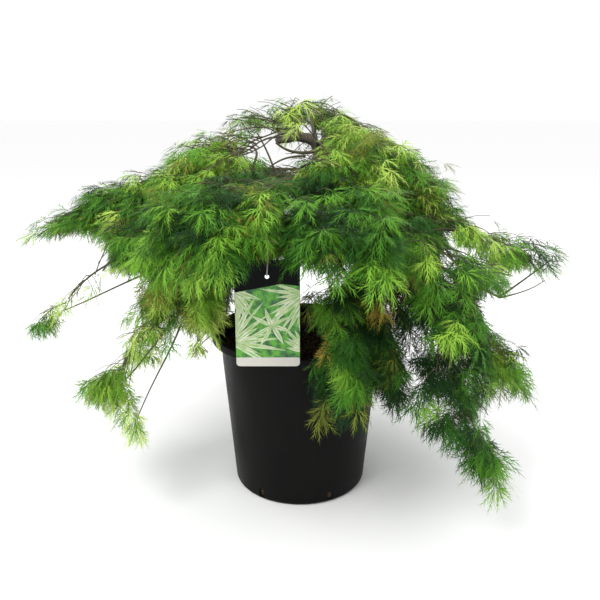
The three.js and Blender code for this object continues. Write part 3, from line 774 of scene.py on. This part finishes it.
        # painted shade: twigs on the boughs, inside the crown, are made darker
        dress(addTwig(twig, False), twig, shade["inner"])
    for points in trailing.get(name, []):
        twig = Run(*inMetres(points))
        # painted light and shade: trailing twigs are made lighter or darker by limb
        dress(addTwig(twig, True, twigSet["trailingSteps"]), twig, shade["trailing"][name])


# Leafy twigs that trail from the ends of hanging limbs: points in mm.
trailing = {
    "hem-right": [
        [(279, -70, 261), (298, -70, 248), (314, -70, 229), (324, -70, 209)],
        [(264, -90, 268), (277, -90, 249), (287, -90, 230), (298, -90, 208)],
    ],
    "hem-right-front": [
        [(235, -190, 198), (256, -190, 174), (270, -190, 159), (279, -190, 150)],
        [(226, -190, 204), (237, -190, 174), (249, -190, 150), (265, -190, 128)],
        [(224, -190, 201), (222, -190, 183), (226, -190, 168), (235, -190, 156)],
    ],
    "hem-left": [
        [(-363, -20, 304), (-379, -20, 299), (-395, -20, 289), (-406, -20, 276)],
    ],
}
# Thin bare branches that show between the leaves: root and tip radius, then points, all in mm.
bareBranches = [
    (2.2, 1.2, (-73, -30, 499), (-62, -30, 530), (-52, -30, 540), (-83, -30, 543)),
    (1.6, 1.0, (-31, -45, 490), (-38, -45, 517), (-48, -45, 540), (-60, -45, 560)),
    (1.6, 1.1, (12, -35, 509), (-32, -35, 511), (-62, -35, 510), (-86, -35, 512)),
    (2.6, 1.4, (22, -12, 533), (-7, -20, 528), (-22, -20, 535), (-35, -20, 546)),
    (1.7, 1.0, (8, -22, 527), (-21, -30, 528), (-34, -30, 520), (-46, -32, 510)),
    (2.0, 0.9, (-8, 0, 549), (-5, 0, 560), (1, 0, 571), (3, -4, 582)),
    (3.0, 1.8, (150, -24, 392), (220, -30, 359), (267, -30, 335), (307, -30, 315)),
    (1.8, 0.9, (305, -30, 316), (324, -30, 330), (345, -30, 347), (379, -28, 374)),
    (1.3, 0.7, (307, -30, 315), (336, -30, 322), (359, -30, 330), (372, -30, 343)),
    (2.2, 1.2, (205, -60, 352), (236, -62, 318), (262, -64, 282), (292, -66, 250)),
    (1.1, 0.7, (-338, 0, 439), (-357, 0, 431), (-378, 0, 424), (-391, 0, 427)),
    (1.1, 0.8, (-276, -30, 423), (-284, -30, 402), (-301, -30, 377), (-311, -30, 351)),
    (1.8, 0.9, (-166, -30, 371), (-226, -30, 365), (-290, -30, 324), (-365, -30, 294)),
    (1.8, 0.9, (-157, -80, 326), (-206, -80, 277), (-232, -80, 229), (-275, -80, 189)),
    (1.5, 0.8, (-171, -90, 296), (-198, -90, 233), (-214, -90, 217), (-247, -90, 142)),
    (1.2, 0.7, (227, -120, 168), (251, -120, 138), (275, -120, 111), (307, -120, 91)),
    (1.2, 0.7, (111, -30, 442), (178, -30, 423), (230, -30, 426), (288, -30, 396)),
]
twigBarkSet = {"spots": 0.02, "dark": (0.034, 0.031, 0.013), "light": (0.105, 0.092, 0.038), "branchSteps": 14}


# Which leaves stay in their own space and clear of everything else, and where and how all of them stand.
def keptLeaves(leaves):
    owner = np.array([leaf[0] for leaf in leaves])
    middles, aheads, faces = [np.array([leaf[i] for leaf in leaves], float) for i in (2, 3, 4)]
    sizes = np.array([leaf[5] for leaf in leaves])[:, None]
    across = np.cross(aheads, faces)
    rows = np.arange(len(leaves))
    keep = np.ones(len(leaves), bool)
    for ahead, aside in spraySet["probes"]:
        tests = middles + (aheads * ahead + across * aside - faces * spraySet["sag"] * ahead ** 2) * sizes
        distances = stemDistances(tests)
        home = distances[rows, owner].copy()
        distances[rows, owner] = np.inf
        keep &= distances.min(1) > home - twigSet["slack"]
        keep &= awayFromThings(tests) & inBox(tests) & clearOfOpenings(tests)
    return keep, middles, np.stack([across, aheads, faces], axis=2) * sizes[:, :, None]


def soundShoots(shoots):  # which shoots keep clear of everything, as do those that bear them
    sound = []
    for path, _, parent, _ in shoots:
        points = np.array(path)
        clear = inBox(points).all() and awayFromThings(points).all()
        clear = clear and clearOfOpenings(points[1:]).mean() > twigSet["clearShare"]
        sound.append(parent < 0 or (clear and sound[parent]))
    return sound


def growFoliage():
    shoots = []
    leaves = []
    for index, limb in enumerate(limbs):
        growMass(index, limb, shoots, leaves)
    colours = np.array([leaf[1] for leaf in leaves])
    keep, middles, frames = keptLeaves(leaves)
    sound = soundShoots(shoots)
    keep &= np.array(sound)[[leaf[6] for leaf in leaves]]
    bearing = {leaf[6] for leaf, kept in zip(leaves, keep) if kept}
    for i in range(len(shoots) - 1, -1, -1):  # a shoot stays where it carries leaves, or a shoot that does
        if i in bearing:
            bearing.add(shoots[i][2])
    shoots = [shoot for i, shoot in enumerate(shoots) if sound[i] and (i in bearing or shoot[3])]
    print("leaves", int(keep.sum()), "of", len(leaves), "shoots", len(shoots))

    kinds = [leafTemplate(seed) for seed in range(leafSet["kinds"])]
    nodes = [f"leaves-{limb['name']}" for limb in limbs]
    which = np.random.default_rng(leafSet["kindSeed"]).integers(0, len(kinds), len(leaves))
    for name, tint in leafColours.items():
        picked = np.flatnonzero(keep & (colours == name))
        finish = Finish(f"leaf-{name}", Base_Color=(*tint, 1), Roughness=0.6, Specular_IOR_Level=0.15)
        lots = []
        for kind, (points, triangles) in enumerate(kinds):
            own = picked[which[picked] == kind]
            lots.append((points, triangles, frames[own], middles[own]))
        piece = strewn(f"leaves-{name}", lots, finish)
        print(piece.name, len(piece.data.polygons), "triangles")
        stands(piece, "leaf", *nodes)

    own = twigBarkSet
    twigBark = Finish("twigBark", Roughness=0.65)
    twigBark.colour(twigBark.between(twigBark.grain(own["spots"]), own["dark"], own["light"]))
    runs = [(path, radii) for path, radii, _, _ in shoots]
    for root, tip, *points in bareBranches:
        run = Run(*inMetres(points))
        runs.append((run.path(own["branchSteps"]), tapering(root * mm, tip * mm, own["branchSteps"])))
    twigs = sweep("twigs", runs, 0, twigBark)
    print("twigs", sum(len(face.vertices) - 2 for face in twigs.data.polygons), "triangles")
    stands(twigs, "bark", *nodes)


potSet = {  # in mm
    "height": 256, "rimRadius": 140, "rimHeight": 13, "topRadius": 127, "baseRadius": 107, "rounding": 7,
    "wall": 2.6, "floor": 3, "lip": 1.3, "ledge": 3, "undercut": 2, "footWidth": 20, "footHeight": 0.8,
    "sideHeights": (40, 90, 150, 205), "steps": 180, "sharp": 35,  # the sharp angle in degrees
    "insideEase": (1, 0.5, 4), "floorEase": (4, 3),  # how far points beside a corner are from it
    "slots": 6, "firstSlot": 296, "slotDepth": 24, "slotWidth": 9, "slotHeight": 14, "slotFoot": 5,
    "slotRounding": 1.6, "dark": (0.0014, 0.0018, 0.0014), "light": (0.0036, 0.0036, 0.0030),
    "smooth": 0.42, "scuffed": 0.16,  # roughness, and how much rougher it is where scuffed
}


def arc(middle, radius, start, end, count=6):  # points of a round corner, in the section's plane
    angles = [math.radians(start + (end - start) * i / count) for i in range(count + 1)]
    return [(middle[0] + radius * math.cos(a), middle[1] + radius * math.sin(a)) for a in angles]


def potSection():  # reach and height of its outline, from the middle of the underside round to the floor
    own = potSet
    rim, top, base = own["rimRadius"], own["topRadius"], own["baseRadius"]
    shelf = own["height"] - own["rimHeight"]
    foot, wall, lip, ledge, under = own["rounding"], own["wall"], own["lip"], own["ledge"], own["undercut"]
    slope = (top - base) / (shelf - foot)
    ring = base - own["footWidth"]
    outside = [(0, own["footHeight"]), (ring - under, own["footHeight"]), (ring, 0)]
    outside += arc((base - foot, foot), foot, -90, 0)
    outside += [(base + slope * (z - foot), z) for z in own["sideHeights"]]
    outside += arc((top + under, shelf - ledge), ledge, 180, 90, 4)
    outside += arc((rim - under, shelf + under), under, -90, 0, 4)
    outside += arc((rim - lip, own["height"] - lip), lip, 0, 180, 8)
    across, above, below = own["insideEase"]
    inside = [(rim - 2 * lip, shelf + below), (top - wall + across, shelf + above), (top - wall, shelf - ledge)]
    across, above = own["floorEase"]
    inside += [(base - wall, foot + above), (base - wall - across, own["floor"]), (0, own["floor"])]
    return outside + inside


def potFinish():
    plastic = Finish("blackPot", Roughness=0.5, Specular_IOR_Level=0.09)
    scuffs = plastic.grain(0.03, 5, 0.6, (1, 1, 0.4))
    dust = plastic.grain(0.0016, 2)
    plastic.colour(plastic.between(plastic.spread(scuffs, 0.4, 0.7), potSet["dark"], potSet["light"]))
    plastic.rough(potSet["smooth"] + potSet["scuffed"] * plastic.spread(scuffs, 0.35, 0.7))
    plastic.relief(dust, 0.0002, 0.25)
    return plastic


def makePot():
    shape = bmesh.new()
    points = [shape.verts.new((radius * mm, 0, z * mm)) for radius, z in potSection()]
    edges = [shape.edges.new(pair) for pair in zip(points, points[1:])]
    bmesh.ops.spin(shape, geom=points + edges, cent=(0, 0, 0), axis=(0, 0, 1), angle=2 * math.pi,
                   steps=potSet["steps"], use_merge=True)
    bmesh.ops.remove_doubles(shape, verts=shape.verts, dist=1e-6)
    bmesh.ops.recalc_face_normals(shape, faces=shape.faces)
    pot = settle(shape, "nursery-pot")

    cutters = bmesh.new()
    for i in range(potSet["slots"]):
        start = set(cutters.verts)
        bmesh.ops.create_cube(cutters, size=1)
        slot = [v for v in cutters.verts if v not in start]
        sizes = Vector((potSet["slotDepth"], potSet["slotWidth"], potSet["slotHeight"])) * mm
        bmesh.ops.scale(cutters, vec=sizes, verts=slot)
        along = [e for v in slot for e in v.link_edges if abs(e.verts[0].co.x - e.verts[1].co.x) > sizes.x / 2]
        bevelled = bmesh.ops.bevel(cutters, geom=list(set(along)), offset=potSet["slotRounding"] * mm,
                                   segments=4, profile=0.5, affect="EDGES", material=-1)
        slot = list({v for v in cutters.verts if v not in start} | set(bevelled["verts"]))
        height = (potSet["slotFoot"] + potSet["slotHeight"] / 2) * mm
        bmesh.ops.translate(cutters, vec=(potSet["baseRadius"] * mm, 0, height), verts=slot)
        turn = Matrix.Rotation(math.radians(potSet["firstSlot"] + 360 / potSet["slots"] * i), 3, "Z")
        bmesh.ops.rotate(cutters, cent=(0, 0, 0), matrix=turn, verts=slot)
    cutter = settle(cutters, "slot-cutter")
    cut = pot.modifiers.new("slots", "BOOLEAN")
    cut.operation = "DIFFERENCE"
    cut.solver = "EXACT"
    cut.object = cutter
    pot = applied(pot)
    bpy.data.objects.remove(cutter)
    pot.data.materials.append(potFinish().material)
    pot.data.shade_smooth()
    sharpened(pot, potSet["sharp"])
    return stands(pot, "pot", "pot")


soilSet = {
    "top": 233, "crown": 4, "rough": 2.6,  # heights in mm; the rest in metres
    "crownReach": 0.123, "lumps": 0.016, "slice": 0.3, "fractal": (0.7, 2.1, 5),
    "reach": 0.1232, "foot": 0.004, "footShare": 0.84,
    "rings": (0.98, 0.95, 0.91, 0.86, 0.8, 0.73, 0.65, 0.56, 0.46, 0.35, 0.23, 0.1), "sides": 96,
    "dark": (0.022, 0.013, 0.007), "light": (0.110, 0.062, 0.032),
}
chipSet = {  # sizes and heights above the compost in mm, reach in metres
    "sizes": (3.0, 10.0), "widths": (0.25, 0.5), "depths": (0.12, 0.28), "above": (-0.2, 1.2), "reach": 0.117,
    "bevel": 0.22, "uneven": 0.35, "unevenSize": 2.3, "turn": 6.3, "tilt": 0.6, "seed": 5,
    "kinds": [("chips-dark", 1500, (0.014, 0.007, 0.004), (0.06, 0.026, 0.012)),
              ("chips-red", 1100, (0.06, 0.022, 0.01), (0.19, 0.085, 0.04))],
}


def soilHeight(x, y):  # of the compost at a point, in metres
    reach = math.hypot(x, y) / soilSet["crownReach"]
    ground = soilSet["top"] + soilSet["crown"] * (1 - reach ** 2)
    place = Vector((x, y, soilSet["slice"])) / soilSet["lumps"]
    lumps = noise.fractal(place, *soilSet["fractal"], noise_basis="PERLIN_ORIGINAL")
    return (ground + soilSet["rough"] * lumps) * mm


def compostFinish(name, dark, light):
    compost = Finish(name, Roughness=0.95)
    compost.colour(compost.between(compost.spread(compost.grain(0.006, 6, 0.7), 0.35, 0.68), dark, light))
    compost.relief(compost.grain(0.0015, 4, 0.7), 0.001, 0.6)
    return compost


def grown(shape, edges):  # extrudes edges, and gives the new points and the new edges between them
    parts = bmesh.ops.extrude_edge_only(shape, edges=edges)["geom"]
    verts = [part for part in parts if isinstance(part, bmesh.types.BMVert)]
    edges = [part for part in parts if isinstance(part, bmesh.types.BMEdge)]
    return verts, [edge for edge in edges if all(vert in verts for vert in edge.verts)]


def makeSoil():
    shape = bmesh.new()
    bmesh.ops.create_circle(shape, cap_ends=True, segments=soilSet["sides"], radius=1)
    bmesh.ops.delete(shape, geom=shape.faces[:], context="FACES_ONLY")
    rim = list(shape.edges)
    for reach in soilSet["rings"]:
        verts, rim = grown(shape, rim)
        for vert in verts:
            vert.co = vert.co.normalized() * reach
    bmesh.ops.edgeloop_fill(shape, edges=rim)
    bmesh.ops.subdivide_edges(shape, edges=shape.edges, cuts=1, use_grid_fill=True)
    for vert in shape.verts:
        vert.co *= soilSet["reach"]
        vert.co.z = soilHeight(vert.co.x, vert.co.y)
    for vert in grown(shape, [edge for edge in shape.edges if edge.is_boundary])[0]:
        vert.co = Vector((vert.co.x * soilSet["footShare"], vert.co.y * soilSet["footShare"], soilSet["foot"]))
    bmesh.ops.edgeloop_fill(shape, edges=[edge for edge in shape.edges if edge.is_boundary])
    bmesh.ops.recalc_face_normals(shape, faces=shape.faces)
    soil = settle(shape, "compost", compostFinish("compostEarth", soilSet["dark"], soilSet["light"]))
    return stands(soil, "soil", "soil")


def makeChips():  # shreds of bark on top of the compost
    own = chipSet
    shape = bmesh.new()
    bmesh.ops.create_cube(shape, size=1)
    bmesh.ops.bevel(shape, geom=shape.edges[:], offset=own["bevel"], segments=1, profile=0.5, affect="EDGES",
                    material=-1)
    for vert in shape.verts:
        vert.co *= 1 + own["uneven"] * noise.noise(vert.co * own["unevenSize"])
    points, faces = meshArrays(shape)
    dice = random.Random(own["seed"])
    for name, count, dark, light in own["kinds"]:
        matrices = []
        places = []
        for _ in range(count):
            reach = own["reach"] * math.sqrt(dice.random())
            angle = dice.uniform(0, 2 * math.pi)
            x, y = reach * math.cos(angle), reach * math.sin(angle)
            long = dice.uniform(*own["sizes"]) * mm
            sizes = (long, long * dice.uniform(*own["widths"]), long * dice.uniform(*own["depths"]))
            turn = Matrix.Rotation(dice.uniform(0, own["turn"]), 3, "Z")
            tilt = Matrix.Rotation(dice.uniform(-own["tilt"], own["tilt"]), 3, "Y")
            matrices.append(np.array(turn @ tilt @ Matrix.Diagonal(sizes)))
            places.append((x, y, soilHeight(x, y) + dice.uniform(*own["above"]) * mm))
        finish = compostFinish(name, dark, light)
        piece = strewn(name, [(points, faces, np.array(matrices), np.array(places))], finish)
        stands(piece, "soil", "soil")


labelSet = {  # in mm
    "corner": 5, "thick": 0.9, "hole": 3.0, "holeBelowTop": 23, "holeSides": 24, "foot": 13.5, "inset": 0.12,
    "edge": 0.4, "gap": 0.3, "sharp": 30, "seed": 12, "lift": 0.03, "layer": 0.012, "bladeThick": 0.02,
    "pictureTop": [(44.1, 116), (19.5, 119), (-44.1, 107)],  # in mm from the card's middle and foot
    "bladeWidth": (4.5, 8.0), "bladeSteps": 10, "bladePower": 0.75, "bladeBend": 0.08, "bladeShift": 0.25,
    "cream": ((0.58, 0.56, 0.50), (0.66, 0.64, 0.58)),
    "greens": {0.36: (0.003, 0.060, 0.032), 0.46: (0.024, 0.190, 0.016), 0.56: (0.105, 0.390, 0.022)},
}
# Two sheets of blades, one on the other: girth, finish, size of its patches in metres and its colours.
bladeSheets = {
    "label-blades": (1, "labelPale", 0.012, (0.40, 0.58, 0.26), (0.72, 0.78, 0.60)),
    "label-blade-middles": (0.4, "labelLeaf", 0.010, (0.25, 0.47, 0.12), (0.54, 0.62, 0.30)),
}
# Fans of blades in the picture: centre, first and last angle, how many, and their lengths.
labelFans = [
    ((-50, 34), (-26, 82), 10, (42, 84)), ((52, 106), (168, 262), 9, (40, 78)),
    ((54, 24), (98, 176), 7, (28, 56)), ((-48, 108), (-84, -8), 7, (26, 50)), ((6, 60), (20, 340), 8, (24, 40)),
]


def onCard(y):  # from the card's own plane to its place, with this y in front
    middle = (labelLow.x + labelHigh.x) / 2
    return Matrix.Translation((middle, y, labelLow.z)) @ Matrix.Rotation(math.pi / 2, 4, "X")


def flat(name, outlines, finish, front, thick):  # a plate from closed outlines in the card's own plane, in mm
    curve = bpy.data.curves.new(name, "CURVE")
    curve.dimensions = "2D"
    curve.fill_mode = "BOTH"
    curve.extrude = thick / 2 * mm
    for outline in outlines:
        spline = curve.splines.new("POLY")
        spline.points.add(len(outline) - 1)
        for point, (x, y) in zip(spline.points, outline):
            point.co = (x * mm, y * mm, 0, 1)
        spline.use_cyclic_u = True
    piece = applied(link(name, curve))
    piece.data.transform(onCard(front + thick / 2 * mm))
    piece.data.materials.append(finish.material)
    sharpened(piece, labelSet["sharp"])
    return stands(piece, "card", "label-card")


def roundedOutline(half, height, corner):
    points = arc((half - corner, corner), corner, -90, 0)
    points += arc((half - corner, height - corner), corner, 0, 90)
    return points + [(-x, y) for x, y in reversed(points)]


def fanOfBlades(dice):  # narrow leaves in fans: where each starts, its angle, length and width
    blades = []
    for centre, (first, last), count, lengths in labelFans:
        for i in range(count):
            shift = dice.uniform(-labelSet["bladeShift"], labelSet["bladeShift"])
            angle = first + (last - first) * (i + shift) / (count - 1)
            blades.append((centre, angle, dice.uniform(*lengths), dice.uniform(*labelSet["bladeWidth"])))
    dice.shuffle(blades)
    return blades


def bladeSheet(name, blades, lift):  # the blades as one piece, cut off at the picture's edges
    own = labelSet
    girth, material, patches, dark, light = bladeSheets[name]
    finish = Finish(material, Roughness=0.35)
    finish.colour(finish.between(finish.spread(finish.grain(patches), 0.4, 0.6), dark, light))
    half = (labelHigh.x - labelLow.x) / 2 / mm - own["edge"]
    shape = bmesh.new()
    for order, (centre, angle, length, width) in enumerate(blades):
        grid = bmesh.ops.create_grid(shape, x_segments=1, y_segments=own["bladeSteps"], size=0.5)
        for vert in grid["verts"]:
            share = vert.co.y + 0.5
            side = vert.co.x * width * girth * math.sin(math.pi * share ** own["bladePower"])
            bend = own["bladeBend"] * length * share ** 2
            vert.co = (length * share, side - bend, lift + 2 * order * own["layer"])
        turn = Matrix.Rotation(math.radians(angle), 3, "Z")
        bmesh.ops.rotate(shape, matrix=turn, verts=grid["verts"])
        bmesh.ops.translate(shape, vec=(*centre, 0), verts=grid["verts"])
    right, peak, left = [Vector((x, y, 0)) for x, y in own["pictureTop"]]
    square = Matrix.Rotation(math.radians(90), 3, "Z")
    cuts = [((half, 0, 0), (1, 0, 0)), ((-half, 0, 0), (-1, 0, 0)),
            ((0, own["foot"] + own["gap"], 0), (0, -1, 0)),
            (peak, square @ (peak - left)), (peak, square @ (right - peak))]
    for point, outwards in cuts:
        geometry = shape.verts[:] + shape.edges[:] + shape.faces[:]
        bmesh.ops.bisect_plane(shape, geom=geometry, plane_co=point, plane_no=outwards, clear_outer=True)
    bmesh.ops.remove_doubles(shape, verts=shape.verts, dist=0.001)
    bmesh.ops.recalc_face_normals(shape, faces=shape.faces)
    bmesh.ops.solidify(shape, geom=shape.faces[:], thickness=own["bladeThick"])
    bmesh.ops.transform(shape, matrix=onCard(labelLow.y) @ Matrix.Scale(mm, 4), verts=shape.verts)
    bmesh.ops.recalc_face_normals(shape, faces=shape.faces)
    return stands(settle(shape, name, finish, smooth=False), "card", "label-card")


def makeLabel():
    own = labelSet
    height = (labelHigh.z - labelLow.z) / mm
    half = (labelHigh.x - labelLow.x) / 2 / mm
    edge, foot, corner, inset = half - own["edge"], own["foot"], own["corner"], own["inset"]
    front = labelLow.y - inset * mm
    card = Finish("labelBlack", Base_Color=(0.002, 0.003, 0.003, 1), Roughness=0.5, Specular_IOR_Level=0.08)
    outline = roundedOutline(half, height, corner)
    hole = arc((0, height - own["holeBelowTop"]), own["hole"], 360, 0, own["holeSides"])[:-1]
    flat("label-body", [outline, hole], card, labelLow.y, own["thick"])

    cream = Finish("labelCream", Roughness=0.45)
    cream.colour(cream.between(cream.grain(0.01), *own["cream"]))
    strip = arc((edge - corner, corner + own["edge"]), corner, -90, 0)
    strip = strip + [(edge, foot), (-edge, foot)] + [(-x, y) for x, y in reversed(strip)]
    flat("label-foot", [strip], cream, front, inset)

    ground = Finish("labelGreen", Roughness=0.35)
    ground.colour(ground.ramp(ground.grain(0.016, 3, 0.6), own["greens"]))
    picture = [(-edge, foot + own["gap"]), (edge, foot + own["gap"])] + own["pictureTop"]
    flat("label-picture", [picture], ground, front, inset)

    blades = fanOfBlades(random.Random(own["seed"]))
    for layer, name in enumerate(bladeSheets):
        bladeSheet(name, blades, inset + own["lift"] + layer * own["layer"])


tieSet = {  # in mm
    "radius": 0.95, "inside": 1, "steps": 96, "rounding": 7,
    "dark": (0.22, 0.22, 0.20), "light": (0.30, 0.30, 0.27),
}


def makeTie():  # the loop that carries the card: over the bough, down, and through the card's hole
    own = tieSet
    low, high = [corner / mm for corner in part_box("label-tie")]
    middle = (low + high) / 2
    foot, top = low.z + own["inside"], high.z - own["inside"]
    apart = (high.x - low.x) / 2 - own["inside"]
    path = []
    for i in range(own["steps"]):
        angle = 2 * math.pi * i / own["steps"]
        height = math.sin(angle)
        rounding = min(1, (1 - abs(height)) * own["rounding"])
        out = apart * math.sqrt(1 - (1 - rounding) ** 2) * (1 if math.cos(angle) >= 0 else -1)
        turn = (1 - height) / 2 * math.pi / 2
        z = foot + (top - foot) * (height + 1) / 2
        path.append(Vector((middle.x + out * math.cos(turn), middle.y - out * math.sin(turn), z)) * mm)
    path.append(path[0])
    plastic = Finish("tiePlastic", Roughness=0.4)
    plastic.colour(plastic.between(plastic.grain(0.01), own["dark"], own["light"]))
    radii = [own["radius"] * mm] * len(path)
    return stands(sweep("label-loop", [(path, radii)], 3, plastic), "tie", "label-tie")


placeCamera()
placeLights()
placeFloor()
print("stage is set")
growLimbs()
print("limbs are grown")
growFoliage()
print("foliage is grown")
makePot()
makeSoil()
makeChips()
print("pot is filled")
makeLabel()
makeTie()
print("label is hung")
